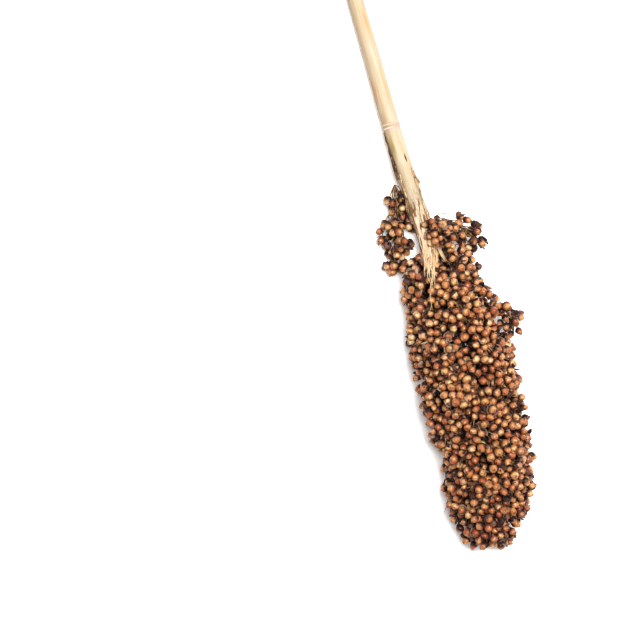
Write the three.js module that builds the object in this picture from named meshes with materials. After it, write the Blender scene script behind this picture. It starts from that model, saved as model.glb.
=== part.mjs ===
// A cut and dried sorghum seed head, lying on its side. Millimetres, +Z up.
// The hanging spray's underside touches z = 0. The stalk's cut end is 0.4 mm above it and the
// lowest branch 0.8 mm. The stalk points to +Y and the tip of the head to -Y. The origin is
// under the middle of the whole piece.
import * as THREE from "three";
import { mergeVertices } from "three/addons/utils/BufferGeometryUtils.js";

// Stalk: cut end, node ring, and the stretch where it frays into the head's axis.
const STALK_LENGTH = 144;
const STALK_CUT_RADIUS = 3.9;
const STALK_FOOT_RADIUS = 4.4;
const NODE_RING_AT = 81;
const NODE_RING_RADIUS = 4.7;
const NODE_RING_HALF_WIDTH = 1.2;
const CUT_BEVEL = 0.4;

// Dry leaf sheath below the node ring, and the split fibres at the stalk's foot.
const SHEATH_FROM = NODE_RING_AT + 3;
const SHEATH_LENGTH = 23;
const SHEATH_WIDTH = 4.4;
const SHEATH_THICKNESS = 0.6;
const SHEATH_ANGLE = 2.7;
const FIBRE_RADIUS = 0.6;

// Head: its length and greatest half width, its height against its width, and the axis within.
const HEAD_LENGTH = 156;
const HEAD_RADIUS = 25.6;
const HEAD_BLUNTNESS = 0.33;
const FLATNESS = 0.92;
const AXIS_BASE_RADIUS = 3;
const AXIS_TIP_RADIUS = 0.8;
const AXIS_STOPS_SHORT = 8;
const STALK_SHOULDER = 9;

// Branches: whorls along the axis, each with its own number of branches, all leaning to the tip
// by so much for each millimetre out. They keep a gap, and no two are quite alike.
const BRANCHES_PER_WHORL = [5, 6, 6, 6, 6, 6, 5, 4, 3];
const LEAN = 0.85;
const FIRST_WHORL_AT = -6;
const LAST_WHORL_END = HEAD_LENGTH - 5;
const BRANCH_GAP = 0.7;
const BRANCH_FOOT = 0.45;
const UNEVEN_LENGTH = 0.05;
const UNEVEN_SHARE = 0.16;
const WHORL_TWIST = 0.25;
const FLOOR_SOFTNESS = 0.9;

const COLOURS = {
  straw: new THREE.MeshStandardMaterial({ color: 0xe9d7a4, roughness: 0.6 }),
  sheath: new THREE.MeshStandardMaterial({ color: 0x8a5b43, roughness: 0.8 }),
  grain: new THREE.MeshStandardMaterial({ color: 0xb0693a, roughness: 0.5 }),
  husk: new THREE.MeshStandardMaterial({ color: 0x8f5236, roughness: 0.55 }),
};

// The stalk's line from its cut end, through the bend at the node ring, to the tip of the head.
// x and y are measured from the point where the stalk enters the head.
const AXIS = new THREE.CatmullRomCurve3([
  new THREE.Vector3(-43.8, 146, 4.3),
  new THREE.Vector3(-31, 101, 8.3),
  new THREE.Vector3(-21.8, 68, 11.2),
  new THREE.Vector3(-9.5, 28.5, 14.8),
  new THREE.Vector3(-0.5, 1.5, 17.4),
  new THREE.Vector3(6.5, -19, 19.6),
  new THREE.Vector3(11.3, -39, 22),
  new THREE.Vector3(18.5, -69, 23.3),
  new THREE.Vector3(23.8, -89, 22.8),
  new THREE.Vector3(27, -112, 20),
  new THREE.Vector3(25, -145, 13.5),
], false, "centripetal");
AXIS.arcLengthDivisions = 800;
const UP = new THREE.Vector3(0, 0, 1);

// A repeatable uneven value from -1 to 1 for a branch's whorl and place.
function uneven(whorl, place) {
  const wave = Math.sin(whorl * 12.9898 + place * 78.233) * 43758.5453;
  return 2 * (wave - Math.floor(wave)) - 1;
}

// Keeps everything above the surface: what would sink through it is pressed flat, never folded.
function settle(point) {
  point.z = FLOOR_SOFTNESS * Math.log1p(Math.exp(point.z / FLOOR_SOFTNESS));
  return point;
}

// The point at a distance along a curve, at an angle and a radius about it.
// Angle 0 is the curve's right-hand side and 90 degrees is up.
function around(curve, distance, angle, radius, flatness = 1) {
  const at = THREE.MathUtils.clamp(distance / curve.getLength(), 0, 1);
  const centre = curve.getPointAt(at);
  const ahead = curve.getTangentAt(at);
  const side = new THREE.Vector3().crossVectors(UP, ahead).normalize();
  const rise = new THREE.Vector3().crossVectors(ahead, side);
  centre.addScaledVector(ahead, distance - at * curve.getLength());
  centre.addScaledVector(side, radius * Math.cos(angle));
  return centre.addScaledVector(rise, radius * Math.sin(angle) * flatness);
}

// Moves every vertex of a closed three.js shape through a mapping, with its seams merged first.
function warp(geometry, mapping) {
  geometry.deleteAttribute("normal");
  geometry.deleteAttribute("uv");
  const merged = mergeVertices(geometry, 1e-4);
  const place = merged.attributes.position;
  const vertex = new THREE.Vector3();
  for (let i = 0; i < place.count; i++) {
    const moved = mapping(vertex.fromBufferAttribute(place, i));
    place.setXYZ(i, moved.x, moved.y, moved.z);
  }
  merged.computeVertexNormals();
  return merged;
}

// A turned solid bent along a curve. Its profile runs as (radius, distance along the curve).
function bentRod(curve, profile, sides) {
  const outline = profile.map(([radius, distance]) => new THREE.Vector2(radius, distance));
  const rod = new THREE.LatheGeometry(outline, sides);
  return warp(rod, (v) => {
    const angle = Math.atan2(v.z, v.x);
    return around(curve, v.y, -angle, Math.hypot(v.x, v.z));
  });
}

function named(name, geometry, material) {
  const mesh = new THREE.Mesh(geometry, material);
  mesh.name = name;
  return mesh;
}

// The head's half width at a distance from its base: a full oval, blunter at the base.
function headRadius(distance) {
  const share = THREE.MathUtils.clamp(distance / HEAD_LENGTH, 0, 1);
  return HEAD_RADIUS * Math.sin(Math.PI * share ** 0.95) ** HEAD_BLUNTNESS;
}

// The axis tapers through the head, and swells to the stalk's radius just before it.
function axisRadius(distance) {
  const share = THREE.MathUtils.clamp(distance / HEAD_LENGTH, 0, 1);
  const swell = THREE.MathUtils.clamp(-distance / STALK_SHOULDER, 0, 1);
  const taper = THREE.MathUtils.lerp(AXIS_BASE_RADIUS, AXIS_TIP_RADIUS, share);
  return THREE.MathUtils.lerp(taper, STALK_FOOT_RADIUS, swell);
}

// How far out a branch reaches when it leaves the axis at a given distance and leans.
function branchReach(leavesAt) {
  let reach = HEAD_RADIUS;
  while (reach > 1 && reach > headRadius(leavesAt + LEAN * reach)) {
    reach -= 0.05;
  }
  return reach;
}

// The stalk and the head's axis are one grown piece: a cut end, a slow swelling, the node ring,
// and a taper through the head.
function peduncle() {
  const ring = [-2, -1, 1, 2].map((step) => [
    Math.abs(step) === 1 ? NODE_RING_RADIUS : STALK_FOOT_RADIUS,
    NODE_RING_AT + step * NODE_RING_HALF_WIDTH,
  ]);
  const swell = (share) => THREE.MathUtils.lerp(STALK_CUT_RADIUS, STALK_FOOT_RADIUS, share);
  const profile = [
    [0, 0],
    [STALK_CUT_RADIUS - CUT_BEVEL, 0],
    ...[CUT_BEVEL, 16, 32, 48, 64, 76].map((at) => [swell(at / NODE_RING_AT), at]),
    ...ring,
    ...[94, 108, 122].map((at) => [STALK_FOOT_RADIUS, at]),
  ];
  for (let at = -STALK_SHOULDER; at < HEAD_LENGTH - AXIS_STOPS_SHORT; at += STALK_SHOULDER) {
    profile.push([axisRadius(at), STALK_LENGTH + at]);
  }
  profile.push([0, STALK_LENGTH + HEAD_LENGTH - AXIS_STOPS_SHORT]);
  return bentRod(AXIS, profile, 12);
}

// Where one branch's share of its whorl starts: even shares, each boundary a little off.
function boundary(whorl, place) {
  const count = BRANCHES_PER_WHORL[whorl];
  const turn = place + (whorl % 2) / 2 + UNEVEN_SHARE * uneven(whorl, place % count);
  return (2 * Math.PI * turn) / count + WHORL_TWIST * whorl;
}

// How far a sphere's point lies from the club's middle line, from -1 to 1 each way. The round
// girth is squared off and filled out, and it narrows towards the branch's foot.
function girthOnClub(v, along) {
  const turn = Math.atan2(v.z, v.x);
  const corner = (Math.cos(turn) ** 4 + Math.sin(turn) ** 4) ** (-1 / 4);
  const full = Math.min(1, Math.hypot(v.x, v.z) ** 0.45 * corner);
  const size = full * THREE.MathUtils.lerp(BRANCH_FOOT, 1, along);
  return [size * Math.cos(turn), size * Math.sin(turn)];
}

// One branch with its packed grains: a club that starts at the axis, leans to the tip and fills
// its share of the whorl. A sphere's height becomes the way out along the branch.
function branch(whorl, place) {
  const pitch = (LAST_WHORL_END - FIRST_WHORL_AT) / BRANCHES_PER_WHORL.length;
  const middle = FIRST_WHORL_AT + (whorl + 0.5) * pitch;
  const from = boundary(whorl, place);
  const to = boundary(whorl, place + 1);
  const fullness = 1 - UNEVEN_LENGTH + UNEVEN_LENGTH * uneven(whorl, place + 0.5);
  return warp(new THREE.SphereGeometry(1, 12, 8), (v) => {
    const along = ((v.y + 1) / 2) ** 0.7;
    const [lengthwise, sideways] = girthOnClub(v, along);
    const leavesAt = middle + (lengthwise * (pitch - BRANCH_GAP)) / 2;
    const foot = axisRadius(leavesAt) + BRANCH_GAP;
    const reach = Math.max(branchReach(leavesAt) * fullness, foot + 4);
    const radius = THREE.MathUtils.lerp(foot, reach, along);
    const gap = BRANCH_GAP / Math.max(radius, 2 * AXIS_BASE_RADIUS);
    const angle = (from + to) / 2 + (sideways * (to - from - gap)) / 2;
    return settle(around(AXIS, STALK_LENGTH + leavesAt + LEAN * radius, angle, radius, FLATNESS));
  });
}

// A loose spray: a thin twig that swells into a small bunch of grains along its own line.
// The girths are its radii at even steps, and it ends bluntly.
function spray(points, girths) {
  const line = new THREE.CatmullRomCurve3(points.map((p) => new THREE.Vector3(...p)));
  const length = line.getLength();
  const step = length / (girths.length - 0.5);
  const rings = girths.map((girth, i) => [girth, (i + 0.1) * step]);
  return bentRod(line, [[0, 0], ...rings, [0, length]], 10);
}

// A strip of dry leaf sheath, wrapped on part of the stalk below the node ring and standing just
// off it. It widens quickly from its root at the ring and thins out to a torn end.
function sheathStrip() {
  const blank = new THREE.BoxGeometry(1, 1, SHEATH_THICKNESS, 3, 8, 1);
  const standOff = NODE_RING_RADIUS + 0.3 + SHEATH_THICKNESS / 2;
  return warp(blank, (v) => {
    const share = v.y + 0.5;
    const belly = Math.sin(Math.PI * Math.min(1, share + 0.2)) ** 0.7;
    const width = SHEATH_WIDTH * THREE.MathUtils.lerp(0.35, 1, belly);
    const angle = SHEATH_ANGLE + (v.x * width) / standOff;
    return around(AXIS, SHEATH_FROM + share * SHEATH_LENGTH, angle, standOff + v.z);
  });
}

// A stalk fibre that has split off and lies loose on the foot of the stalk and on the head.
// Each stop is a distance from the head's base and an angle about the axis, in degrees.
function looseFibre(stops) {
  const lift = FIBRE_RADIUS + BRANCH_GAP;
  const line = new THREE.CatmullRomCurve3(stops.map(([distance, degrees]) => {
    const surface = Math.max(headRadius(distance) * (1 + UNEVEN_LENGTH), STALK_FOOT_RADIUS);
    const angle = THREE.MathUtils.degToRad(degrees);
    return around(AXIS, STALK_LENGTH + distance, angle, surface + lift, FLATNESS);
  }));
  const length = line.getLength();
  const profile = [[0, 0]];
  for (let share = 0.02; share < 1; share += 0.096) {
    profile.push([FIBRE_RADIUS * (1 - share / 2), length * share]);
  }
  profile.push([0, length]);
  return bentRod(line, profile, 6);
}

// A short straight fibre and a long wavy one lie on the left, a short one on the right.
const FIBRES = [
  [[-7, 100], [2, 104], [10, 111], [18, 116]],
  [[1, 90], [8, 95], [18, 104], [23, 112], [27, 113], [31, 109], [33, 114], [36, 119]],
  [[1, 78], [5, 75], [11, 76]],
];

// The hanging spray lies low beside the stalk on the left, the collar spray sits on the stalk's
// right shoulder, the shoulder spray stands off to the right, and the side spray sticks out of
// the head's right flank.
const SPRAYS = {
  hanging_spray: spray(
    [
      [-20.5, 39, 12], [-19.5, 32, 10.5], [-18.8, 24, 8.5],
      [-19.5, 14, 8.2], [-20.3, 5, 6.5], [-20, -5, 6],
    ],
    [0.8, 3.4, 4.2, 5.6, 8.3, 7, 5, 3],
  ),
  collar_spray: spray(
    [[-2, 20, 22.5], [1, 16, 24], [3.5, 12.5, 25], [6, 9.5, 25.5]],
    [0.8, 3, 4, 4, 3],
  ),
  shoulder_spray: spray(
    [[-1, 22.5, 17], [4, 22, 17.5], [10, 19.5, 18], [16, 14.5, 17], [21, 10.5, 16], [25, 6.5, 15]],
    [0.8, 3.2, 2.6, 4.8, 6.8, 5.8, 3.2],
  ),
  side_spray: spray(
    [[32, -20, 23], [33.5, -22.5, 23], [36.5, -26, 22], [38.8, -31, 21], [39, -37, 20]],
    [0.8, 2.6, 4.6, 4.8, 4, 2.6],
  ),
};

const head = new THREE.Group();
head.add(named("peduncle", peduncle(), COLOURS.straw));
head.add(named("sheath_strip", sheathStrip(), COLOURS.sheath));
FIBRES.forEach((stops, i) => {
  head.add(named(`loose_fibre_${i + 1}`, looseFibre(stops), COLOURS.straw));
});
for (const [name, geometry] of Object.entries(SPRAYS)) {
  head.add(named(name, geometry, COLOURS.husk));
}
BRANCHES_PER_WHORL.forEach((count, whorl) => {
  for (let place = 0; place < count; place++) {
    const material = (whorl + place) % 2 ? COLOURS.grain : COLOURS.husk;
    head.add(named(`branch_${whorl + 1}_${place + 1}`, branch(whorl, place), material));
  }
});

// The origin goes under the middle of the box that holds the whole piece.
const box = new THREE.Box3().setFromObject(head);
const middle = box.getCenter(new THREE.Vector3());
head.position.set(-middle.x, -middle.y, -box.min.z);
head.updateMatrixWorld(true);

export default head;
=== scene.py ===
import math
import random

import bmesh
import bpy
import numpy as np
from mathutils import Matrix, Vector, noise
from mathutils.bvhtree import BVHTree
from mathutils.kdtree import KDTree


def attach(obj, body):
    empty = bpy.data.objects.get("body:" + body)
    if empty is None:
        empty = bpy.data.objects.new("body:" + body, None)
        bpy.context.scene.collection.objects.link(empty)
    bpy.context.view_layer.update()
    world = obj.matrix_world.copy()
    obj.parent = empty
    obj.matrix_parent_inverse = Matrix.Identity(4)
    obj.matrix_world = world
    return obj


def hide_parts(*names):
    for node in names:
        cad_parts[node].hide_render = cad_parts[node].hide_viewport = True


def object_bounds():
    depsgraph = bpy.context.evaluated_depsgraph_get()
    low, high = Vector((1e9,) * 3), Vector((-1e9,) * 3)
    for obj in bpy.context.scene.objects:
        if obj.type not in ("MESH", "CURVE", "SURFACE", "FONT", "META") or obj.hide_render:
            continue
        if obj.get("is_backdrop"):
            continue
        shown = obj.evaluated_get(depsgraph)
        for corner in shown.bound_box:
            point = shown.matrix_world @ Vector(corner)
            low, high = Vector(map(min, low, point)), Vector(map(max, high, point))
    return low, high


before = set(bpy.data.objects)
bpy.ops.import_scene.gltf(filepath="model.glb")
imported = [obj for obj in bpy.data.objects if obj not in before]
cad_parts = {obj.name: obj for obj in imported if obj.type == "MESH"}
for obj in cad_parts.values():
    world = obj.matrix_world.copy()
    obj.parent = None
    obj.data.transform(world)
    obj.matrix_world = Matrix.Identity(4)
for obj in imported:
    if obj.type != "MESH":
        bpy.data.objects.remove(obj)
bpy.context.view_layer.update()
MM = 0.001


# ---------------------------------------------------------------- stalk
# The cut stalk and the head's axis are one grown piece of dry straw: a waxy skin over a spongy
# pith, smooth above the node ring, and grooved and split towards its foot.
def ring_line(name):
    """Centres, radii and distances of the rings of a bent round solid, from its upper end."""
    solid = bmesh.new()
    solid.from_mesh(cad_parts[name].data)
    bmesh.ops.remove_doubles(solid, verts=solid.verts, dist=1e-6)
    solid.verts.index_update()
    most = max(len(v.link_edges) for v in solid.verts)
    pole = max((v for v in solid.verts if len(v.link_edges) == most), key=lambda v: v.co.y)
    ring, seen, centres, radii = [pole], set(), [], []
    while ring:
        middle = sum((v.co for v in ring), Vector()) / len(ring)
        if not centres or (middle - centres[-1]).length > 0.05 * MM:
            centres.append(middle)
            radii.append(0.0)
        radii[-1] = max(radii[-1], max((v.co - middle).length for v in ring))
        seen.update(ring)
        onward = {e.other_vert(v) for v in ring for e in v.link_edges} - seen
        ring = sorted(onward, key=lambda v: v.index)  # a fixed order, so every run sums alike
    solid.free()
    steps = [0.0] + [(b - a).length for a, b in zip(centres, centres[1:])]
    return np.array(centres), np.array(radii), np.cumsum(steps)


def walk(line, distance):
    """The point on a ring line at a distance, with the ways ahead, to the side and up."""
    centres, _, stations = line
    slopes = np.gradient(centres, stations, axis=0)
    k = int(np.clip(np.searchsorted(stations, distance) - 1, 0, len(stations) - 2))
    span = stations[k + 1] - stations[k]
    t = min(1.0, (distance - stations[k]) / span)
    near, far = (1 + 2 * t) * (1 - t) ** 2, t * t * (3 - 2 * t)
    lead, trail = t * (1 - t) ** 2 * span, t * t * (t - 1) * span
    point = near * centres[k] + far * centres[k + 1] + lead * slopes[k] + trail * slopes[k + 1]
    ahead = Vector(slopes[k] * (1 - t) + slopes[k + 1] * t).normalized()
    side = Vector((0, 0, 1)).cross(ahead).normalized()
    return Vector(point), ahead, side, ahead.cross(side)


def wrap_tube(bm, sides, rows, skin):
    """Adds a closed tube: a flat grid wrapped round, each point placed by skin(turn, share)."""
    uv = bm.loops.layers.uv.get("UVMap") or bm.loops.layers.uv.new("UVMap")
    grid = bmesh.ops.create_grid(bm, x_segments=sides, y_segments=rows, size=0.5)["verts"]
    faces = {face for v in grid for face in v.link_faces}
    for face in faces:
        for loop in face.loops:
            loop[uv].uv = (loop.vert.co.x + 0.5, loop.vert.co.y + 0.5)
    for v in grid:
        v.co = skin(v.co.x + 0.5, v.co.y + 0.5)
    bmesh.ops.remove_doubles(bm, verts=grid, dist=1e-7)
    bm.edges.index_update()
    rims = {e for face in faces if face.is_valid for e in face.edges if e.is_boundary}
    rims = sorted(rims, key=lambda e: e.index)
    return bmesh.ops.holes_fill(bm, edges=rims, sides=0)["faces"]


def pressed(height, softness=0.25 * MM):
    """A height above the surface: what would sink through it is pressed flat on it."""
    if height >= 9 * softness:
        return height
    return softness * math.log1p(math.exp(height / softness))


def finish_piece(bm, name, finishes, slot, *stood_for):
    """Turns a bmesh into a named piece that rides on the head and stands for some CAD nodes."""
    for v in bm.verts:
        v.co.z = pressed(v.co.z)
    bmesh.ops.recalc_face_normals(bm, faces=bm.faces)
    mesh = bpy.data.meshes.new(name)
    bm.to_mesh(mesh)
    bm.free()
    mesh.shade_smooth()
    for finish in finishes:
        mesh.materials.append(finish)
    piece = bpy.data.objects.new(name, mesh)
    bpy.context.scene.collection.objects.link(piece)
    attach(piece, "root")
    if stood_for:
        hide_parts(*stood_for)


def linear(code):
    """An sRGB hex colour as linear red, green, blue and alpha."""
    parts = [int(code[i:i + 2], 16) / 255 for i in (1, 3, 5)]
    return [p / 12.92 if p <= 0.04045 else ((p + 0.055) / 1.055) ** 2.4 for p in parts] + [1.0]


def add_node(tree, kind, inputs=(), stops=None, **settings):
    """Adds a shader node, sets it up, and fills or links its inputs by name or number."""
    made = tree.nodes.new("ShaderNode" + kind)
    for name, value in settings.items():
        setattr(made, name, value)
    if stops:
        for _ in stops[2:]:
            made.color_ramp.elements.new(0.5)
        for element, (place, value) in zip(made.color_ramp.elements, stops):
            element.position = place
            element.color = linear(value) if isinstance(value, str) else [value] * 3 + [1.0]
    for name, value in dict(inputs).items():
        if isinstance(value, bpy.types.NodeSocket):
            tree.links.new(value, made.inputs[name])
        else:
            made.inputs[name].default_value = value
    return made


def new_finish(name, **values):
    """A material by its real finish, with its shader's own values set."""
    made = bpy.data.materials.new(name)
    made.use_nodes = True
    shader = made.node_tree.nodes["Principled BSDF"]
    for socket, value in values.items():
        shader.inputs[socket.replace("_", " ")].default_value = value
    return made, made.node_tree, shader


def tint(tree, amount, under, colour):
    """Lays a colour over another by an amount."""
    mix = add_node(tree, "MixRGB", {0: amount, 1: under, 2: colour})
    return mix.outputs[0]


def surface_bump(tree, shader, height, depth, strength=1.0):
    """Raises a surface by a pattern, up to a depth in metres."""
    inputs = {"Height": height, "Distance": depth, "Strength": strength}
    made = add_node(tree, "Bump", inputs)
    tree.links.new(made.outputs[0], shader.inputs["Normal"])


def smooth_step(low, high, value):
    share = min(1.0, max(0.0, (value - low) / (high - low)))
    return share * share * (3 - 2 * share)


STALK_LINE = ring_line("peduncle")
STALK_END = float(STALK_LINE[2][-1])
RING_HALF_WIDTH = 1.2 * MM
RING_AT = float(STALK_LINE[2][np.argmax(STALK_LINE[1])]) + RING_HALF_WIDTH
FRAY_FROM = RING_AT + 24 * MM
HEAD_FROM = 144 * MM
STALK_SIDES, STALK_ROWS = 56, 700
GROOVES = 13


def stalk_radius(distance):
    """The stalk's half width: full down to the first branches, and a sharp-edged node ring."""
    radius = float(np.interp(distance, STALK_LINE[2], STALK_LINE[1]))
    if abs(distance - RING_AT) < 4 * MM:
        lip = math.exp(-((distance - RING_AT - 0.5 * MM) / (0.45 * MM)) ** 2)
        upper = math.exp(-((distance - RING_AT + 1.1 * MM) / (0.4 * MM)) ** 2)
        radius = 4.35 * MM + 0.42 * MM * lip + 0.32 * MM * upper
    full = 4.5 * MM * (1 - smooth_step(HEAD_FROM + 1 * MM, HEAD_FROM + 18 * MM, distance))
    return max(radius, full) if distance > HEAD_FROM - 12 * MM else radius


def on_stalk(distance, angle, lift):
    """The point on the stalk's skin at a distance and an angle, lifted off it."""
    point, _, side, rise = walk(STALK_LINE, distance)
    outward = side * math.cos(angle) + rise * math.sin(angle)
    lane = Vector((math.cos(angle) * 2, math.sin(angle) * 2, distance / (22 * MM)))
    ridge = 0.012 * math.sin(GROOVES * angle + 3 * noise.noise(lane * 0.6))
    frayed = smooth_step(FRAY_FROM - 4 * MM, FRAY_FROM + 26 * MM, distance)
    fold = noise.noise(Vector((lane.x * 1.5, lane.y * 1.5, lane.z * 0.7)))
    tear = noise.noise(Vector((lane.x * 3.4, lane.y * 3.4, lane.z * 1.1 + 7)))
    oval = 0.02 * math.cos(2 * angle + 0.6)
    ripple = 0.015 * noise.noise(Vector((lane.x * 0.5, lane.y * 0.5, distance / (7 * MM))))
    swell = 1 + ridge + oval + ripple + frayed * (0.13 * fold + 0.13 * tear)
    return point + outward * (stalk_radius(distance) * swell + lift)


def stalk_skin(turn, share):
    return on_stalk(share * STALK_END, 2 * math.pi * turn - math.pi / 2, 0)


bm = bmesh.new()
ends = wrap_tube(bm, STALK_SIDES, STALK_ROWS, stalk_skin)
cut = max(ends, key=lambda face: face.calc_center_median().y)
bmesh.ops.inset_individual(bm, faces=[cut], thickness=0.45 * MM, depth=-0.12 * MM)
cut.material_index = 1

# Dry straw: a waxy cream skin over long pale bundles 0.35 mm wide and some 25 mm long, browned
# at bruises, with painted shade down its left side, green-yellow under the ring, and split and
# grey at its foot.
STRAW, straw_tree, straw_shader = new_finish("dry_straw", IOR=1.45, Coat_Weight=0.06)
AROUND_MM, ALONG_MM = 27.0, STALK_END / MM
uv = add_node(straw_tree, "UVMap", uv_map="UVMap").outputs[0]
size = (AROUND_MM, ALONG_MM, 1)
in_mm = add_node(straw_tree, "Mapping", {"Vector": uv, "Scale": size}).outputs[0]


def streaks(tree, width, length, detail=3.0, at=in_mm, shift=0.0):
    """Noise drawn out along the straw: so many millimetres wide and long."""
    placing = {"Vector": at, "Scale": (1 / width, 1 / length, 1), "Location": (shift, shift, 0)}
    lane = add_node(tree, "Mapping", placing)
    inputs = {"Vector": lane.outputs[0], "Scale": 1.0, "Detail": detail, "Roughness": 0.6}
    return add_node(tree, "TexNoise", inputs).outputs["Fac"]


def ramp(tree, value, *stops):
    return add_node(tree, "ValToRGB", {0: value}, stops=stops).outputs[0]


def math_node(tree, operation, a, b):
    return add_node(tree, "Math", {0: a, 1: b}, operation=operation).outputs[0]


def patch(tree, at, centre, half, edge=0.5, most=1.0):
    """How deep a point lies in a soft-edged oval patch, in millimetres round and along."""
    scale = (0.5 / half[0], 0.5 / half[1], 1)
    place = (-0.5 * centre[0] / half[0], -0.5 * centre[1] / half[1], 0)
    local = add_node(tree, "Mapping", {"Vector": at, "Scale": scale, "Location": place})
    ragged = add_node(tree, "VectorMath", {0: local.outputs[0]}, operation="LENGTH").outputs[1]
    rough = streaks(tree, 0.8, 6.0, 3.0)
    wavy = add_node(tree, "Math", {0: rough, 1: 0.4, 2: ragged}, operation="MULTIPLY_ADD")
    return ramp(tree, wavy.outputs[0], (0.7 - edge / 2, most), (0.7, 0.0))


straw = ramp(
    straw_tree, streaks(straw_tree, 0.35, 25),
    (0.28, "#A49170"), (0.42, "#B7A78E"), (0.58, "#C0B39F"), (0.75, "#C7BEB0"),
)
broad = ramp(straw_tree, streaks(straw_tree, 2.6, 34, 3.0), (0.42, 0.0), (0.62, 0.6))
straw = tint(straw_tree, broad, straw, linear("#B79D77"))
share_down = add_node(straw_tree, "SeparateXYZ", {0: uv}).outputs
fray_share = FRAY_FROM / STALK_END
# Painted shade: the stalk's left side is darkened to brown, broken up by streaks, as if lit
# from the right.
left_edge = ramp(straw_tree, share_down[0], (0.6, 0.0), (0.72, 0.5), (0.86, 0.6), (1.0, 0.2))
painted_left_shade = math_node(
    straw_tree, "MULTIPLY", left_edge,
    ramp(straw_tree, streaks(straw_tree, 1.5, 30, 4.0, shift=4.0), (0.35, 0.35), (0.6, 1.0)),
)
straw = tint(straw_tree, painted_left_shade, straw, linear("#9A724B"))
stains = [
    ((18.0, RING_AT / MM - 20), (2.0, 11), "#B57946", 0.65),
    ((16.2, RING_AT / MM + 10), (1.7, 8), "#9A8A45", 0.75),
    ((13.0, RING_AT / MM + 1), (6, 3), "#BBA29A", 0.7),
    ((17.0, RING_AT / MM - 3), (3, 6), "#AB9377", 0.5),
    ((7.6, RING_AT / MM + 34), (0.7, 5), "#734C36", 0.6),
    ((17.5, RING_AT / MM + 38), (1.2, 9), "#8D855C", 0.5),
    ((11.5, RING_AT / MM - 55), (1.6, 9), "#B59466", 0.6),
    ((14.0, RING_AT / MM - 0.3), (14, 0.9), "#A78C72", 0.45),
    ((16.2, RING_AT / MM + 0.6), (4.6, 0.3), "#F4ECDC", 0.8),
    ((16.8, RING_AT / MM - 1.3), (4.0, 0.25), "#F4ECDC", 0.7),
]
for centre, half, colour, most in stains:
    amount = patch(straw_tree, in_mm, centre, half, 0.8, most)
    straw = tint(straw_tree, amount, straw, linear(colour))
scar = patch(straw_tree, in_mm, (11.4, RING_AT / MM + 17.5), (0.42, 2.6), 0.25)
straw = tint(straw_tree, scar, straw, linear("#33200F"))
fray_down = ramp(
    straw_tree, share_down[1], (fray_share - 0.02, 0.0), (fray_share + 0.02, 0.45),
    ((HEAD_FROM - 12 * MM) / STALK_END, 1.0),
)
splits = ramp(
    straw_tree, streaks(straw_tree, 0.55, 13, 2.0, shift=9.0),
    (0.47, 0.0), (0.485, 1.0), (0.505, 1.0), (0.52, 0.0),
)
straw = tint(
    straw_tree, math_node(straw_tree, "MULTIPLY", splits, fray_down), straw, linear("#5E4428")
)
greyed = ramp(straw_tree, streaks(straw_tree, 1.1, 18, 4.0, shift=2.0), (0.4, 0.0), (0.65, 0.5))
straw = tint(
    straw_tree, math_node(straw_tree, "MULTIPLY", greyed, fray_down), straw, linear("#8B7556")
)
# Painted shade: the stalk turns dark brown where it runs on inside the head among the grains.
within = ramp(
    straw_tree, share_down[1],
    ((HEAD_FROM + 8 * MM) / STALK_END, 0.0), ((HEAD_FROM + 16 * MM) / STALK_END, 1.0),
)
straw = tint(straw_tree, within, straw, linear("#3E2D1E"))
straw_tree.links.new(straw, straw_shader.inputs["Base Color"])
gloss = ramp(straw_tree, streaks(straw_tree, 0.9, 12), (0.3, 0.42), (0.7, 0.62))
straw_tree.links.new(gloss, straw_shader.inputs["Roughness"])
surface_bump(straw_tree, straw_shader, streaks(straw_tree, 0.3, 20, 4.0), 0.12 * MM, 0.7)

# Spongy pith inside the cut: off-white, dotted with the brown ends of the bundles.
PITH, pith_tree, pith_shader = new_finish("spongy_pith", Roughness=0.85)
place = add_node(pith_tree, "TexCoord").outputs["Object"]
dots = add_node(pith_tree, "TexVoronoi", {"Vector": place, "Scale": 1 / (0.75 * MM)})
pith = ramp(
    pith_tree, dots.outputs["Distance"], (0.12, "#7A5530"), (0.22, "#D8C08E"), (0.5, "#F2E8CC")
)
pith_tree.links.new(pith, pith_shader.inputs["Base Color"])
surface_bump(pith_tree, pith_shader, dots.outputs["Distance"], 0.3 * MM, 0.8)

finish_piece(bm, "stalk", [STRAW, PITH], "stalk", "peduncle")


# ---------------------------------------------------------------- sheath strip
# What is left of the last leaf's sheath: a brown papery strip that grew from under the ring. It
# clings to the stalk's left side, curls at its free edge, and is torn into threads at its end.
SHEATH_FROM, SHEATH_LENGTH = RING_AT + 1.8 * MM, 25 * MM
SHEATH_WIDTH, SHEATH_ANGLE = 3.8 * MM, math.radians(160)


def sheath_skin(turn, share):
    front = turn < 0.5
    across = 4 * turn - 1 if front else 3 - 4 * turn
    ragged = noise.noise(Vector((share * 9, across * 0.7, 3)))
    width = SHEATH_WIDTH * (0.3 + 0.7 * smooth_step(0.1, 0.6, share)) * (1 - 0.8 * share ** 4)
    angle = SHEATH_ANGLE + across * width * (1 + 0.35 * ragged) / (10 * MM)
    curl = 0.5 * MM * smooth_step(0.1, 0.9, across) * (0.4 + smooth_step(0.2, 0.9, share))
    wave = 0.25 * MM * noise.noise(Vector((share * 6, across * 1.6, 8)))
    lift = 0.35 * MM + curl + wave + (0.1 if front else -0.1) * MM * (1 - abs(across))
    return on_stalk(SHEATH_FROM + SHEATH_LENGTH * share, angle, lift)


bm = bmesh.new()
wrap_tube(bm, 24, 60, sheath_skin)
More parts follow.
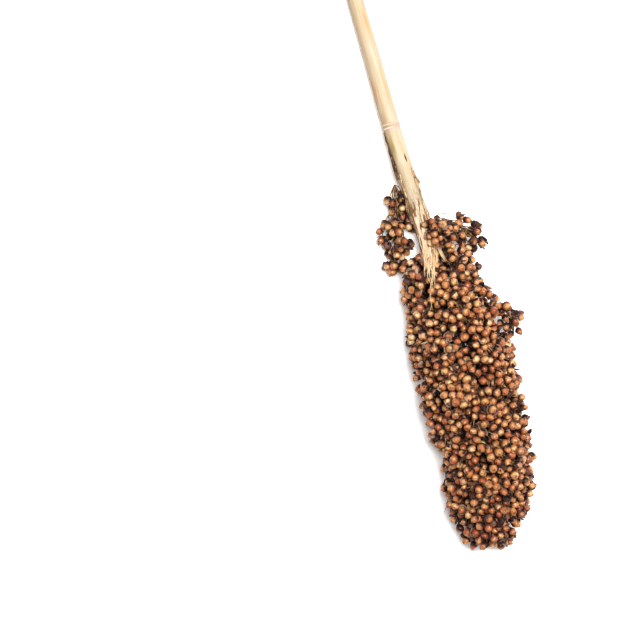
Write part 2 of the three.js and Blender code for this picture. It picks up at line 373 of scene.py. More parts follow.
# Three threads: angle on the stalk in degrees, start as a share of the strip, then length and
# bow off the stalk in millimetres.
SHEATH_THREADS = [(148, 0.7, 14, 1.0), (156, 0.62, 18, 1.6), (164, 0.75, 12, 0.5)]
for angle, start, length, drop in SHEATH_THREADS:
    def thread_skin(turn, share):
        spread = math.radians(angle + 14 * noise.noise(Vector((share * 3, angle, 0))))
        distance = SHEATH_FROM + SHEATH_LENGTH * start + length * share * MM
        middle = on_stalk(distance, spread, (0.35 + drop * math.sin(math.pi * share)) * MM)
        thin = 0.24 * MM * (1 - 0.7 * share)
        spin = 2 * math.pi * turn
        return middle + Vector((math.cos(spin), 0, math.sin(spin))) * thin

    wrap_tube(bm, 5, 16, thread_skin)

# Dry sheath: matt paper, brown deepened to near black by painted shade where it lies on the
# stalk's shaded left side, pink-buff where it has faded, with fine veins 0.25 mm apart along
# it.
SHEATH, sheath_tree, sheath_shader = new_finish("dry_leaf_sheath", Roughness=0.7)
uv = add_node(sheath_tree, "UVMap", uv_map="UVMap").outputs[0]
sheath_mm = add_node(sheath_tree, "Mapping", {"Vector": uv, "Scale": (10, 25, 1)}).outputs[0]
veins = streaks(sheath_tree, 0.5, 9, 4.0, at=sheath_mm)
sheath = ramp(sheath_tree, veins, (0.35, "#23130B"), (0.5, "#4E2F1E"), (0.66, "#8A6144"))
faded = ramp(
    sheath_tree, streaks(sheath_tree, 1.8, 5, 3.0, at=sheath_mm, shift=5.0),
    (0.54, 0.0), (0.58, 0.7),
)
sheath = tint(sheath_tree, faded, sheath, linear("#CBA390"))
sheath_tree.links.new(sheath, sheath_shader.inputs["Base Color"])
surface_bump(sheath_tree, sheath_shader, veins, 0.1 * MM)
finish_piece(bm, "dry_sheath_strip", [SHEATH], "sheath", "sheath_strip")


# ---------------------------------------------------------------- branches and sprays
# Each branch of the head is a short twig that forks into many, and every fork ends in a round
# grain clasped by two dark husks. The grains fill the room that the branch has in the head.
GRAIN_RADIUS = 2.1 * MM
PACKED_GAP = 1.9 * GRAIN_RADIUS
SKIN = 0.5 * GRAIN_RADIUS
DEEPEST = 8.5 * MM
chance = random.Random(41)
BUNCHES = [n for n in sorted(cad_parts) if n.startswith("branch_") or n.endswith("_spray")]

corners, triangles, owners = [], [], []
for name in BUNCHES:
    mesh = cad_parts[name].data
    mesh.calc_loop_triangles()
    start = len(corners)
    corners += [v.co.copy() for v in mesh.vertices]
    triangles += [[start + i for i in tri.vertices] for tri in mesh.loop_triangles]
    owners += [name] * len(mesh.loop_triangles)
SOLIDS = BVHTree.FromPolygons(corners, triangles, all_triangles=True)

AXIS_STEP = 1 * MM
AXIS = [walk(STALK_LINE, k * AXIS_STEP) for k in range(int(STALK_END / AXIS_STEP) + 1)]
AXIS_TREE = KDTree(len(AXIS))
for k, (point, _, _, _) in enumerate(AXIS):
    AXIS_TREE.insert(point, k)
AXIS_TREE.balance()


def from_axis(point):
    """How far along the axis a point lies, and its offset from the axis to the side and up."""
    nearest, k, _ = AXIS_TREE.find(point)
    _, _, side, rise = AXIS[k]
    return k * AXIS_STEP, (point - nearest).dot(side), (point - nearest).dot(rise)


def outward_of(point):
    return (point - AXIS_TREE.find(point)[0]).normalized()


def cover_over(point):
    """How much of the head lies over a point, seen from outside along its own radius."""
    way = outward_of(point)
    reach = 60 * MM
    hit = SOLIDS.ray_cast(point + way * reach, -way)[0]
    return reach - (point + way * reach - hit).length if hit else -reach


def in_the_way(point, name):
    """Whether a grain here would sink into the stalk, or hide its foot on the head."""
    distance, side, up = from_axis(point)
    onward = distance - HEAD_FROM
    clear = stalk_radius(distance) + 0.75 * GRAIN_RADIUS
    if name == "collar_spray":
        return side < -0.5 * MM or math.hypot(side, up) < clear - 0.4 * GRAIN_RADIUS
    if onward < 12 * MM and math.hypot(side, up) < clear:
        return True
    beside = max(0.0, abs(side + 1 * MM) - 5.5 * MM)
    ceiling = 3 * MM + 0.6 * max(0.0, onward) + 2.2 * beside
    return onward < 22 * MM and up > ceiling


# Candidate places, the outermost first, thinned so that no two are closer than a grain allows.
places = []
for name in BUNCHES:
    vertices = np.array([v.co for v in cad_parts[name].data.vertices])
    low, high = vertices.min(0) - SKIN, vertices.max(0) + SKIN
    for _ in range(int(np.prod(high - low) / GRAIN_RADIUS ** 3 * 2.2)):
        point = Vector([chance.uniform(a, b) for a, b in zip(low, high)])
        point.z = max(point.z, GRAIN_RADIUS)
        near, facing, triangle, gap = SOLIDS.find_nearest(point)
        skin = 2.2 * SKIN if name == "collar_spray" else SKIN
        if owners[triangle] != name or (gap > skin and (point - near).dot(facing) > 0):
            continue
        cover = cover_over(point) if name.startswith("branch") else 0
        if cover < DEEPEST and not in_the_way(point, name):
            places.append((round(cover / (1.6 * GRAIN_RADIUS)), chance.random(), point, name))
places.sort(key=lambda place: place[:2])

taken, grains = {}, []
for layer, _, point, name in places:
    cx, cy, cz = (int(c // (2 * GRAIN_RADIUS)) for c in point)
    around = (
        other
        for dx in (-1, 0, 1) for dy in (-1, 0, 1) for dz in (-1, 0, 1)
        for other in taken.get((cx + dx, cy + dy, cz + dz), ())
    )
    if all((other - point).length > 1.55 * GRAIN_RADIUS for other in around):
        taken.setdefault((cx, cy, cz), []).append(point.copy())
        grains.append([point, name, layer])

# Settling: grains that sit too close push each other apart, but stay within the head.
SETTLING_TURNS, SETTLING_PUSH = 16, 0.3
for turn in range(SETTLING_TURNS):
    tree = KDTree(len(grains))
    for i, grain in enumerate(grains):
        tree.insert(grain[0], i)
    tree.balance()
    moves = [Vector() for _ in grains]
    for i, grain in enumerate(grains):
        for place, j, gap in tree.find_range(grain[0], PACKED_GAP):
            if j != i and gap > 0:
                moves[i] += (grain[0] - place) / gap * (PACKED_GAP - gap) * SETTLING_PUSH
    for grain, move in zip(grains, moves):
        grain[0] = grain[0] + move
        near, facing, _, gap = SOLIDS.find_nearest(grain[0])
        if gap > 1.2 * SKIN and (grain[0] - near).dot(facing) > 0:
            grain[0] = grain[0].lerp(near, 0.5)
        grain[0].z = max(grain[0].z, GRAIN_RADIUS * 1.02)

# Clefts between the clusters stay open, the sprays are loose, and the first stretch of a
# spray's own twig is bare, in millimetres. The clusters stand out from the head more or less,
# and so does each grain.
CLEFT, CLUSTER = 6.5 * MM, 15 * MM
CLEFT_FROM, CLUSTER_GAP, STRAY_SHARE = 0.3, 0.03, 0.05
LOOSENESS = {"hanging_spray": 0.2, "collar_spray": 0, "shoulder_spray": 0.6, "side_spray": 0.45}
BARE_TWIG = {"hanging_spray": 6.5, "collar_spray": 1, "shoulder_spray": 4, "side_spray": 4}


def bunch_ends(name):
    """A bunch's foot, the place nearest the axis, and its tip, the place furthest from that."""
    places = [v.co.copy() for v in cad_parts[name].data.vertices]
    foot = min(places, key=lambda p: (p - AXIS_TREE.find(p)[0]).length)
    return places, foot, max(places, key=lambda p: (p - foot).length)


FEET = {name: Vector(ring_line(name)[0][0]) for name in LOOSENESS}
grains = [
    grain for grain in grains
    if noise.noise(grain[0] / CLEFT) < CLEFT_FROM and not in_the_way(grain[0], grain[1])
    and chance.random() > LOOSENESS.get(grain[1], 0)
    and (grain[0] - FEET.get(grain[1], grain[0])).length >= BARE_TWIG.get(grain[1], 0) * MM
]
kept = []
for point, name, layer in grains:
    lump = noise.noise(point / CLUSTER + Vector((5, 5, 5)))
    relief = 8 * MM * (min(0.25, abs(lump)) - 0.12) + chance.gauss(0, 0.35) * MM
    if layer <= 0 and chance.random() < STRAY_SHARE:
        relief += chance.uniform(0.8, 2.4) * MM
    if name in FEET:
        kept.append([point, name, layer])
    elif abs(lump) > CLUSTER_GAP:
        point = point + outward_of(point) * relief
        point.z = max(point.z, GRAIN_RADIUS)
        kept.append([point, name, layer])
grains = kept

# Five grains of the collar spray sit on the stalk itself, in two rows on its right shoulder.
COLLAR_ON_STALK, COLLAR_ROWS = 5, (78, 46)
for step in range(COLLAR_ON_STALK):
    angle = math.radians(COLLAR_ROWS[step % 2])
    place = on_stalk(HEAD_FROM - (0.5 + 2.3 * step) * MM, angle, GRAIN_RADIUS)
    grains.append([place, "collar_spray", 0])

# The hanging spray's twig carries six grains above its bunch, on one side and the other.
HANGING_ON_TWIG = 6
twig_line, _, twig_stations = ring_line("hanging_spray")
for step in range(HANGING_ON_TWIG):
    along = (6.8 + 2.4 * step) * MM
    place = Vector([np.interp(along, twig_stations, twig_line[:, axis]) for axis in range(3)])
    aside = 2.3 if step % 2 == 0 else -2.0
    grains.append([place + Vector((aside, 0, 2)) * MM, "hanging_spray", 0])


def shape(name, segments, rings, mould, mark=lambda co: co.z * 0.5 + 0.5):
    """A small round shape, moulded point by point, and a mark from 0 to 1 for each point."""
    bm = bmesh.new()
    bmesh.ops.create_uvsphere(bm, u_segments=segments, v_segments=rings, radius=1)
    rises = [mark(v.co) for v in bm.verts]
    for v in bm.verts:
        v.co = mould(v.co.copy())
    mesh = bpy.data.meshes.new(name)
    bm.to_mesh(mesh)
    bm.free()
    return mesh, rises


def seed_mould(variant):
    """One grain: a round seed pinched to a point at its tip, and never quite regular."""
    def mould(co):
        dent = 0.2 * noise.noise(co * 1.3 + Vector((variant * 5.1, 0, 0)))
        dent += 0.09 * noise.noise(co * 3.1 + Vector((0, variant * 7.7, 0)))
        tip = 1.0 - 0.24 * max(0.0, co.z) ** 2
        stretch = 1.14 if co.z > 0 else 0.94
        return Vector((co.x * tip, co.y * tip, co.z * stretch)) * (1 + dent)
    return mould


def husk_mould(variant, gape):
    """The husks that clasp a grain's foot: a cup with two ragged lobes and a rolled rim. With
    more gape the lobes reach further up and stand off."""
    outside = [(0, 1.0), (0.6, 1.02), (1.0, 1.06 + 0.3 * gape)]
    inside = [(1.0, 0.98 + 0.3 * gape), (0.6, 0.94), (0, 0.88)]
    def mould(co):
        ring = round(math.degrees(math.acos(max(-1, min(1, -co.z)))) / 36)
        around = math.atan2(co.y, co.x)
        round_rim = Vector((math.cos(around), math.sin(around), variant * 3.3))
        ragged = 26 * noise.noise(round_rim * 2)
        lobe = 50 + 26 * gape + ragged * (1 + 0.6 * gape) + 36 * abs(math.cos(around)) ** 1.4
        share, out = (outside + inside)[ring]
        down = math.radians(share * lobe)
        flat = out * math.sin(down)
        return Vector((flat * math.cos(around), flat * math.sin(around), -out * math.cos(down)))
    return mould


def spindle_mould(width, thickness):
    """A narrow pointed husk or a sliver of straw, one unit from its foot to its tip."""
    def mould(co):
        pinch = 1 - 0.45 * co.z
        return Vector((co.x * width * pinch, co.y * thickness * pinch, co.z * 0.5 + 0.5))
    return mould


def scale_mould(co):
    """One husk on its own: a thin boat-shaped scale, broad below and pointed at its tip."""
    width = 0.34 * (1 - max(0.0, co.z) ** 2 * 0.75)
    cup = 0.3 * (co.x ** 2 - 0.5)
    return Vector((co.x * width, co.y * 0.05 + cup * width, co.z * 0.5 + 0.5))


SEEDS = [shape(f"one_grain_{k}", 10, 6, seed_mould(k)) for k in range(6)]
HUSKS = [shape(f"one_husk_{k}", 10, 5, husk_mould(k, 0)) for k in range(5)]
OPEN_HUSKS = [shape(f"one_open_husk_{k}", 12, 5, husk_mould(k + 9, 1)) for k in range(4)]
BARREN = shape("one_barren_husk", 6, 5, spindle_mould(0.17, 0.09))
SCALE = shape("one_scale", 8, 5, scale_mould, lambda co: 0.3 + 0.27 * abs(co.x) ** 3)
SLIVER = shape("one_sliver", 5, 6, spindle_mould(0.035, 0.02))


def plant(bm, made, place, tone):
    """Adds one copy of a shape at a place, with its tone and how far up each point is."""
    start = len(bm.verts)
    bm.from_mesh(made[0])
    bm.verts.ensure_lookup_table()
    fresh = bm.verts[start:]
    bmesh.ops.transform(bm, matrix=place, verts=fresh)
    tones, rises = bm.verts.layers.float["tone"], bm.verts.layers.float["rise"]
    for v, rise in zip(fresh, made[1]):
        v[tones] = tone
        v[rises] = rise


def marked_bmesh():
    bm = bmesh.new()
    bm.verts.layers.float.new("tone")
    bm.verts.layers.float.new("rise")
    return bm


def standing(centre, way, spin, size):
    """A placing: local Z points along way, turned by spin, with sizes along its own axes."""
    turn = way.to_track_quat("Z", "Y").to_matrix().to_4x4()
    return (
        Matrix.Translation(centre) @ turn @ Matrix.Rotation(spin, 4, "Z")
        @ Matrix.Diagonal((size[0], size[1], size[2], 1))
    )


def wild():
    return Vector([chance.gauss(0, 1) for _ in range(3)])


def any_tone(middle, spread):
    return min(1.0, max(0.0, chance.gauss(middle, spread)))


def bent_twig(bm, start, end, bend, thick, thin):
    """A round twig from a fork to a grain's foot, bowed to one side."""
    way = (end - start).normalized()
    side = way.orthogonal().normalized()
    across = way.cross(side)

    def skin(turn, share):
        spin = 2 * math.pi * turn
        radius = thick + (thin - thick) * share
        bowed = start.lerp(end, share) + bend * math.sin(math.pi * share)
        return bowed + (side * math.cos(spin) + across * math.sin(spin)) * radius

    wrap_tube(bm, 4, 5, skin)


def bunch_spine(name):
    """The middle line of a bunch's solid, from its foot by the axis to its tip."""
    if name in FEET:
        return [Vector(point) for point in ring_line(name)[0]]
    places, foot, tip = bunch_ends(name)
    reach = (tip - foot).length
    slices = [[] for _ in range(8)]
    for p in places:
        share = (p - foot).dot(tip - foot) / reach ** 2
        slices[min(7, max(0, int(share * 8)))].append(p)
    middles = [sum(s, Vector()) / len(s) for s in slices if s]
    return [foot] + middles + [foot.lerp(tip, 0.97)]


# Sorghum grain: a waxy tan seed coat, ochre to red-brown from grain to grain, blushed in soft
# patches 3 mm across, darkened towards its rim and foot partly by painted shade and partly by
# its own red-brown skin under the husks, with a black point in a red-brown ring at its tip.
GRAIN, grain_tree, grain_shader = new_finish("sorghum_grain", IOR=1.5, Coat_Weight=0.1)
tone = add_node(grain_tree, "Attribute", attribute_name="tone").outputs["Fac"]
rise = add_node(grain_tree, "Attribute", attribute_name="rise").outputs["Fac"]
place = add_node(grain_tree, "TexCoord").outputs["Object"]
coat = ramp(
    grain_tree, tone,
    (0.0, "#7E422B"), (0.25, "#A4653F"), (0.5, "#B98654"), (0.75, "#CBA676"), (1.0, "#DAC49A"),
)


def speckle(tree, at, size, detail=2.0):
    inputs = {"Vector": at, "Scale": 1 / size, "Detail": detail}
    return add_node(tree, "TexNoise", inputs).outputs["Fac"]


blush = ramp(grain_tree, speckle(grain_tree, place, 2.8 * MM, 3.0), (0.48, 0.0), (0.64, 0.7))
coat = tint(grain_tree, blush, coat, linear("#A9563C"))
golden = ramp(grain_tree, speckle(grain_tree, place, 2.1 * MM, 3.0), (0.5, 0.0), (0.66, 0.65))
coat = tint(grain_tree, golden, coat, linear("#CDB682"))
dusky = ramp(grain_tree, speckle(grain_tree, place, 1.3 * MM, 3.0), (0.54, 0.0), (0.6, 0.55))
coat = tint(grain_tree, dusky, coat, linear("#85503A"))
flecks = ramp(grain_tree, speckle(grain_tree, place, 0.5 * MM), (0.6, 0.0), (0.72, 0.45))
coat = tint(grain_tree, flecks, coat, linear("#7A452B"))
# Painted shade with some real red-brown: each grain darkens from its middle down to its rim.
red_rim_and_painted_shade = ramp(grain_tree, rise, (0.36, 0.95), (0.56, 0.5), (0.76, 0.0))
coat = tint(grain_tree, red_rim_and_painted_shade, coat, linear("#6C3020"))
# Painted shade with the darker skin under the husks: the grain's foot is nearly black.
foot = ramp(grain_tree, rise, (0.22, 0.95), (0.4, 0.65), (0.56, 0.0))
coat = tint(grain_tree, foot, coat, linear("#260E06"))
tip = ramp(grain_tree, rise, (0.9, 0.0), (0.95, 0.55))
coat = tint(grain_tree, tip, coat, linear("#7E3B22"))
point_mark = ramp(grain_tree, rise, (0.97, 0.0), (0.99, 0.95))
coat = tint(grain_tree, point_mark, coat, linear("#2A1009"))
grain_tree.links.new(coat, grain_shader.inputs["Base Color"])
waxy = ramp(grain_tree, speckle(grain_tree, place, 1.4 * MM, 3.0), (0.35, 0.34), (0.65, 0.6))
grain_tree.links.new(waxy, grain_shader.inputs["Roughness"])
surface_bump(grain_tree, grain_shader, speckle(grain_tree, place, 1.0 * MM, 3.0), 0.26 * MM)

# Dry glume: thin brittle husk, purple-brown with a pink-grey bloom and a pale papery rim; its
# near-black tones are partly painted shade for the pockets between the grains.
GLUME, glume_tree, glume_shader = new_finish("dry_glume", IOR=1.45)
tone = add_node(glume_tree, "Attribute", attribute_name="tone").outputs["Fac"]
rise = add_node(glume_tree, "Attribute", attribute_name="rise").outputs["Fac"]
place = add_node(glume_tree, "TexCoord").outputs["Object"]
husk = ramp(
    glume_tree, tone,
    (0.0, "#150805"), (0.3, "#2E1610"), (0.55, "#51322A"), (0.8, "#7E6054"), (1.0, "#AF9882"),
)
bloom = ramp(glume_tree, speckle(glume_tree, place, 1.6 * MM, 3.0), (0.5, 0.0), (0.66, 0.6))
husk = tint(glume_tree, bloom, husk, linear("#5E3E38"))
rim = ramp(glume_tree, rise, (0.42, 0.0), (0.5, 0.55), (0.6, 0.55), (0.68, 0.0))
torn = ramp(glume_tree, speckle(glume_tree, place, 1.5 * MM, 2.0), (0.46, 0.0), (0.58, 1.0))
rim = math_node(glume_tree, "MULTIPLY", rim, torn)
husk = tint(glume_tree, rim, husk, linear("#C6AC98"))
glume_tree.links.new(husk, glume_shader.inputs["Base Color"])
satin = ramp(glume_tree, speckle(glume_tree, place, 1.1 * MM), (0.35, 0.4), (0.65, 0.75))
glume_tree.links.new(satin, glume_shader.inputs["Roughness"])
surface_bump(glume_tree, glume_shader, speckle(glume_tree, place, 0.6 * MM, 3.0), 0.2 * MM)

# Dry twig: matt straw-brown stem, greener and paler in places, with its dark browns painted
# shade for the twigs deep in the head.
TWIG, twig_tree, twig_shader = new_finish("dry_twig", Roughness=0.68)
place = add_node(twig_tree, "TexCoord").outputs["Object"]
bark = ramp(
    twig_tree, speckle(twig_tree, place, 4.0 * MM, 4.0),
    (0.35, "#34201A"), (0.48, "#6A4B32"), (0.6, "#A68858"), (0.72, "#7B7146"),
)
twig_tree.links.new(bark, twig_shader.inputs["Base Color"])
surface_bump(twig_tree, twig_shader, speckle(twig_tree, place, 0.5 * MM, 3.0), 0.1 * MM)

BARREN_SHARE, SCALE_SHARE, SLIVER_SHARE = 0.5, 0.6, 0.07
OPEN_SHARE, EMPTY_SHARE = 0.08, 0.03
for name in BUNCHES:
    spine = bunch_spine(name)
    loose = name.endswith("_spray")
    seeds, husks, twigs = marked_bmesh(), marked_bmesh(), bmesh.new()
    for centre, _, layer in (grain for grain in grains if grain[1] == name):
        nearest = min(range(len(spine)), key=lambda k: (spine[k] - centre).length)
        fork = spine[max(0, nearest - 2)]
        distance = from_axis(centre)[0]
        ahead = walk(STALK_LINE, distance)[1] * 0.2
        if loose:
            ahead = (spine[min(nearest + 1, len(spine) - 1)] - fork).normalized() * 0.6
        # Painted light and shade: grains near the stalk are made lighter and those towards the
        # tip darker; towards the tip the husks also stand open more often.
        fresh = 1 - smooth_step(HEAD_FROM, HEAD_FROM + 50 * MM, distance)
        worn = smooth_step(HEAD_FROM + 95 * MM, HEAD_FROM + 140 * MM, distance)
        outward = (centre - spine[nearest]).normalized() if loose else outward_of(centre)
        way = (centre - fork).normalized() * 0.5 + outward * 0.55 + ahead + wild() * 0.36
        way = (way + outward * max(0.0, 0.25 - way.dot(outward))).normalized()
        spin = chance.uniform(0, 2 * math.pi)
        size = GRAIN_RADIUS * chance.choice((0.9, 1.0, 1.05, 1.08, 1.13, 1.2))
        foot = centre - way * size * 0.9
        opened = chance.random() < OPEN_SHARE + 0.2 * worn
        if chance.random() > EMPTY_SHARE:
            girth = size * chance.uniform(0.88, 1.04)
            breadth = girth * chance.uniform(0.8, 0.95)
            place = standing(centre, way, spin, (girth, breadth, size))
            # Painted shade: the tone drops in the deeper layers and towards the tip and rises
            # near the stalk, over a random spread from grain to grain.
            tone = 0.52 + 0.1 * fresh - 0.16 * worn - 0.12 * max(0, layer)
            plant(seeds, chance.choice(SEEDS), place, any_tone(tone, 0.2))
        askew = (way + wild() * 0.24).normalized()
        cup = size * (1.06 if opened else 0.95)
        place = standing(centre, askew, spin, (cup, cup * 0.92, cup))
        husk_tone = any_tone(0.68, 0.16) if opened else any_tone(0.33, 0.22)
        plant(husks, chance.choice(OPEN_HUSKS if opened else HUSKS), place, husk_tone)
        if chance.random() < BARREN_SHARE:
            lean = (way + wild() * 0.3).normalized()
            aside = wild().cross(way).normalized() * size * chance.uniform(0.7, 1.05)
            length = chance.uniform(3.2, 5.2) * MM
            place = standing(foot + aside, lean, spin, (length, length, length))
            plant(husks, BARREN, place, any_tone(0.5, 0.27))
        if chance.random() < SCALE_SHARE:
            lean = (way + wild() * 0.45).normalized()
            aside = wild().cross(way).normalized() * size * chance.uniform(0.8, 1.15)
            length = chance.uniform(3.0, 4.8) * MM
            place = standing(foot + aside, lean, chance.uniform(0, 6), (length,) * 3)
            plant(husks, SCALE, place, any_tone(0.48, 0.25))
        if layer <= 0 and chance.random() < SLIVER_SHARE:
            lean = (wild() + outward * 0.3).normalized()
            length = chance.uniform(3, 7) * MM
            root = centre + outward * size * 0.8
            place = standing(root, lean, spin, (length, length, length))
            plant(husks, SLIVER, place, any_tone(0.95, 0.1))
        reach = min((foot - fork).length, 6 * MM) if not loose else (foot - fork).length
        start = foot + (fork - foot).normalized() * reach
        bow = wild().cross(way) * 0.12 * reach
        bent_twig(twigs, start, foot, bow, 0.34 * MM, 0.26 * MM)
    stem = 0.5 if loose else 0.75
    for a, b in zip(spine, spine[1:]):
        bent_twig(twigs, a, b, Vector(), stem * MM, stem * 0.8 * MM)
    if seeds.verts:
        finish_piece(seeds, name + "_grains", [GRAIN], "grain", name)
        finish_piece(husks, name + "_glumes", [GLUME], "glume")
    finish_piece(twigs, name + "_twigs", [TWIG], "twig")


# ---------------------------------------------------------------- split fibres
# Where the stalk enters the head its skin has split into pale flat strands. They part from the
# stalk's foot, fan out over the first grains and fray.
PACKED = [grain[0] for grain in grains if grain[1] not in FEET]
GRAIN_TREE = KDTree(len(PACKED))
for i, centre in enumerate(PACKED):
    GRAIN_TREE.insert(centre, i)
GRAIN_TREE.balance()


def lie_of_the_head(x, y):
    """The height of whatever lies uppermost at a place: a grain, the stalk or the floor."""
    best = 0.0
    for height in range(10, 46, 4):
        for place, _, _ in GRAIN_TREE.find_range(Vector((x, y, height * MM)), 4 * MM):
            across = math.hypot(place.x - x, place.y - y)
            if across < 1.3 * GRAIN_RADIUS:
                round_top = math.sqrt(max(0.0, GRAIN_RADIUS ** 2 - across ** 2))
                best = max(best, place.z + round_top)
    distance, side, _ = from_axis(Vector((x, y, 18 * MM)))
    reach = stalk_radius(distance)
    if abs(side) < 1.5 * reach:
        crown = math.sqrt(max(0.0, reach ** 2 - side ** 2))
        best = max(best, walk(STALK_LINE, distance)[0].z + crown)
    return best


def run_down(start, length, from_side, to_side, sway):
    """A strand seen from above: it drifts from one side offset to another, and wavers."""
    seed = chance.uniform(0, 100)
    plan = []
    for share in np.linspace(0, 1, 27):
        point, _, side, _ = walk(STALK_LINE, start + length * share)
        wander = sway * share * noise.noise(Vector((share * length / (6 * MM), seed, 0)))
        point = point + side * (from_side + (to_side - from_side) * share ** 1.2 + wander)
        plan.append((point.x, point.y))
    return plan


def lay_strand(bm, plan, lift, width, thickness, tone):
    """A flat strand that follows its plan and lies drawn tight over what is below it."""
    heights = np.array([lie_of_the_head(x, y) for x, y in plan])
    for _ in range(10):
        heights[1:-1] = np.maximum(heights[1:-1], (heights[:-2] + heights[2:]) / 2)
    line = np.column_stack([plan, heights + 0.45 * MM])
    for _ in range(2):
        line[1:-1] = (line[:-2] + 2 * line[1:-1] + line[2:]) / 4
    stations = np.linspace(0, 1, len(line))

    def at(share):
        share = min(1.0, max(0.0, share))
        return Vector([np.interp(share, stations, line[:, axis]) for axis in range(3)])

    def skin(turn, share):
        middle = at(share) + Vector((0, 0, lift * math.sin(math.pi * share)))
        ahead = (at(share + 0.05) - at(share - 0.05)).normalized()
        _, side, _ = from_axis(middle)
        across = ahead.cross(Vector((min(0.9, max(-0.9, side / (5 * MM))), 0, 1))).normalized()
        taper = min(1.0, (share * 7) ** 0.6 + 0.05) * ((1 - share ** 3) * 0.85 + 0.15)
        spin = 2 * math.pi * turn
        sideways = across * math.cos(spin) * width * taper
        return middle + sideways + across.cross(ahead) * math.sin(spin) * thickness * taper

    first = len(bm.verts)
    wrap_tube(bm, 5, 30, skin)
    bm.verts.ensure_lookup_table()
    tones = bm.verts.layers.float["tone"]
    for v in bm.verts[first:]:
        v[tones] = tone


# Split straw: bare fibre, cream to pink-buff, greener and browner from strand to strand.
FIBRE, fibre_tree, fibre_shader = new_finish("split_straw", Roughness=0.6)
tone = add_node(fibre_tree, "Attribute", attribute_name="tone").outputs["Fac"]
uv = add_node(fibre_tree, "UVMap", uv_map="UVMap").outputs[0]
fibre_mm = add_node(fibre_tree, "Mapping", {"Vector": uv, "Scale": (3, 25, 1)}).outputs[0]
fibre = ramp(
    fibre_tree, tone,
    (0.0, "#805F3E"), (0.25, "#B4946D"), (0.5, "#D9C29F"), (0.75, "#E1C7B4"), (1.0, "#C5BC8E"),
)
worn = ramp(fibre_tree, streaks(fibre_tree, 0.3, 5, 3.0, at=fibre_mm), (0.45, 0.0), (0.7, 0.6))
fibre = tint(fibre_tree, worn, fibre, linear("#9D7B55"))
fibre_tree.links.new(fibre, fibre_shader.inputs["Base Color"])
surface_bump(fibre_tree, fibre_shader, streaks(fibre_tree, 0.2, 6, at=fibre_mm), 0.08 * MM)


def marked_strands():
    bm = bmesh.new()
    bm.verts.layers.float.new("tone")
    return bm


# The long loose strands: one on the left, a long wavy one, and one that just reaches the head.
for name in ("loose_fibre_1", "loose_fibre_2", "loose_fibre_3"):
    centres, _, stations = ring_line(name)
    bm = marked_strands()
    for shift, length in ((0.0, 1.0), (0.7 * MM, 0.8), (-0.6 * MM, 0.6)):
        shares = np.linspace(0, stations[-1] * length, 27)
        waves = [1.6 * MM * noise.noise(Vector((at / (6 * MM), 3, 0))) for at in shares]
        across = np.interp(shares, stations, centres[:, 0]) + shift + waves
        plan = list(zip(across, np.interp(shares, stations, centres[:, 1])))
        lay_strand(bm, plan, 0.3 * MM, 0.42 * MM, 0.2 * MM, any_tone(0.6, 0.1))
    finish_piece(bm, name + "_strands", [FIBRE], "stalk", name)

# The foot's own strands: a broad bundle that keeps straight on where the axis bends away under
# it, a few that part to the left, a green-white bundle on the right, and brown frayed edges.
bm = marked_strands()
BUNDLE_STRANDS, LEFT_STRANDS, GREEN_STRANDS, EDGE_STRANDS = 34, 14, 9, 44
for _ in range(BUNDLE_STRANDS):
    start = HEAD_FROM - 26 * MM * chance.random() ** 1.5
    onward = chance.uniform(3, 20)
    away = chance.uniform(-4.3, 3.4)
    to_side = 0.35 * away - 0.3 * onward + chance.gauss(0, 0.7)
    plan = run_down(start, HEAD_FROM - start + onward * MM, away * MM, to_side * MM, 3 * MM)
    width = chance.uniform(0.3, 0.85) * MM
    lay_strand(bm, plan, chance.uniform(0, 0.3) * MM, width, 0.16 * MM, any_tone(0.55, 0.22))
for _ in range(LEFT_STRANDS):
    start = HEAD_FROM - chance.uniform(0, 7) * MM
    plan = run_down(
        start, chance.uniform(9, 18) * MM, chance.uniform(-4.4, -3) * MM,
        chance.uniform(-7.5, -5) * MM, 2 * MM,
    )
    width = chance.uniform(0.18, 0.45) * MM
    lay_strand(bm, plan, chance.uniform(0, 0.6) * MM, width, 0.15 * MM, any_tone(0.5, 0.2))
for _ in range(GREEN_STRANDS):
    start = HEAD_FROM - chance.uniform(0, 6) * MM
    plan = run_down(
        start, chance.uniform(9, 15) * MM, chance.uniform(1.4, 3.6) * MM,
        chance.uniform(4, 6.4) * MM, 1 * MM,
    )
    width = chance.uniform(0.2, 0.5) * MM
    lay_strand(bm, plan, chance.uniform(0, 0.3) * MM, width, 0.15 * MM, any_tone(0.9, 0.1))
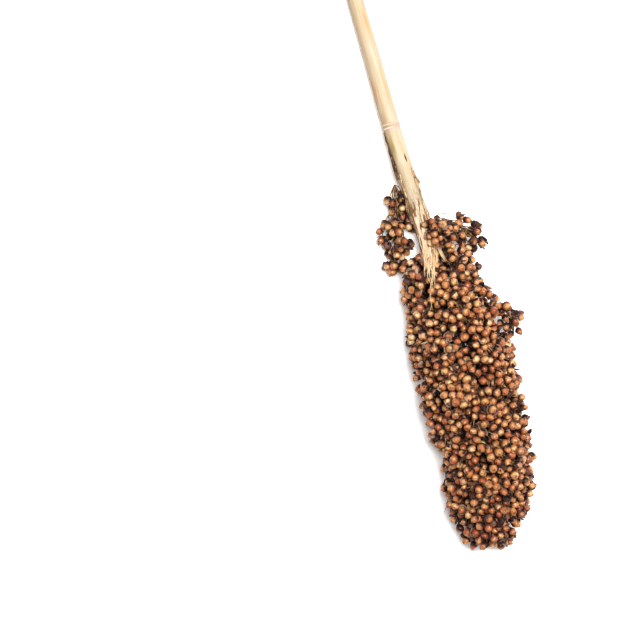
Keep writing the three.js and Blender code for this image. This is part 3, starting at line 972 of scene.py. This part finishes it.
for _ in range(EDGE_STRANDS):
    edge = chance.choice((-1, 1, 1)) * chance.uniform(3.2, 4.4) * MM
    plan = run_down(
        FRAY_FROM + chance.uniform(-2, 30) * MM, chance.uniform(4, 11) * MM, edge,
        edge * chance.uniform(1.0, 1.5), 1.6 * MM,
    )
    width = chance.uniform(0.18, 0.45) * MM
    lay_strand(bm, plan, chance.uniform(0, 0.7) * MM, width, 0.12 * MM, any_tone(0.25, 0.22))
finish_piece(bm, "split_straw_fan", [FIBRE], "stalk")


# ---------------------------------------------------------------- floor, light and camera
# A plain white sheet under soft light from the upper right, seen straight from above.
bm = bmesh.new()
bmesh.ops.create_grid(bm, x_segments=1, y_segments=1, size=3)
floor_mesh = bpy.data.meshes.new("floor")
bm.to_mesh(floor_mesh)
bm.free()
floor = bpy.data.objects.new("floor", floor_mesh)
bpy.context.scene.collection.objects.link(floor)
PAPER, _, paper_shader = new_finish("matt_paper", Roughness=0.9)
paper_shader.inputs["Base Color"].default_value = linear("#FDFDFD")
paper_shader.inputs["Emission Color"].default_value = (1, 1, 1, 1)
paper_shader.inputs["Emission Strength"].default_value = 0.3
floor_mesh.materials.append(PAPER)
floor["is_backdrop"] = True


def soft_light(name, place, size, power):
    data = bpy.data.lights.new(name, "AREA")
    data.size = size
    data.energy = power
    lamp = bpy.data.objects.new(name, data)
    lamp.location = place
    lamp.rotation_euler = (-Vector(place)).to_track_quat("-Z", "Y").to_euler()
    bpy.context.scene.collection.objects.link(lamp)


soft_light("key", (0.2, 0.24, 1.88), 0.7, 64)
soft_light("side", (0.9, 0.35, 1.2), 0.8, 5)

world = bpy.data.worlds.new("studio")
world.use_nodes = True
world.node_tree.nodes["Background"].inputs["Color"].default_value = (1, 1, 1, 1)
world.node_tree.nodes["Background"].inputs["Strength"].default_value = 0.12
scene = bpy.context.scene
scene.world = world
scene.view_settings.view_transform = "Standard"
scene.view_settings.gamma = 0.78

lens = bpy.data.cameras.new("camera")
camera = bpy.data.objects.new("camera", lens)
scene.collection.objects.link(camera)
VIEW_WIDTH = 320 * MM
CAMERA_HEIGHT = 1.6
MIDDLE_HEIGHT = 24 * MM
lens.sensor_width = 36
lens.lens = lens.sensor_width * (CAMERA_HEIGHT - MIDDLE_HEIGHT) / VIEW_WIDTH
camera.location = (-58.2 * MM, -31.5 * MM, CAMERA_HEIGHT)
scene.camera = camera

low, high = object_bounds()
